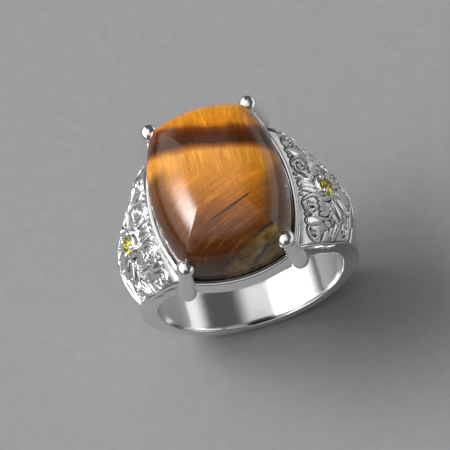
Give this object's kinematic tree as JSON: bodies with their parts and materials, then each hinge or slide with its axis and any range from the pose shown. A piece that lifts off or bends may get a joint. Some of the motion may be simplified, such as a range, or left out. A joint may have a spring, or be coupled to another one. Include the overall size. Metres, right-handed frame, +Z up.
{
  "type": "tiger's eye ring",
  "caption": "Finger ring with an oblong tiger's eye cabochon held by corner claws, and scroll-carved shoulders set with small yellow stones.",
  "frame": {"origin": "centre of the finger hole", "axes": "+Z up through the middle of the stone, X across the finger from shoulder to shoulder, +Y along the finger"},
  "size_m": [0.0216, 0.0166, 0.0286],
  "materials": {
    "silver": "mirror-polished sterling silver",
    "tigers_eye": "polished, banded golden brown",
    "yellow_stone": "clear yellow, faceted"
  },
  "bodies": {
    "root": {"band": "silver", "head": "silver", "tigers_eye": "tigers_eye", "accent_stone_left": "yellow_stone", "accent_stone_right": "yellow_stone"}
  },
  "joints": []
}
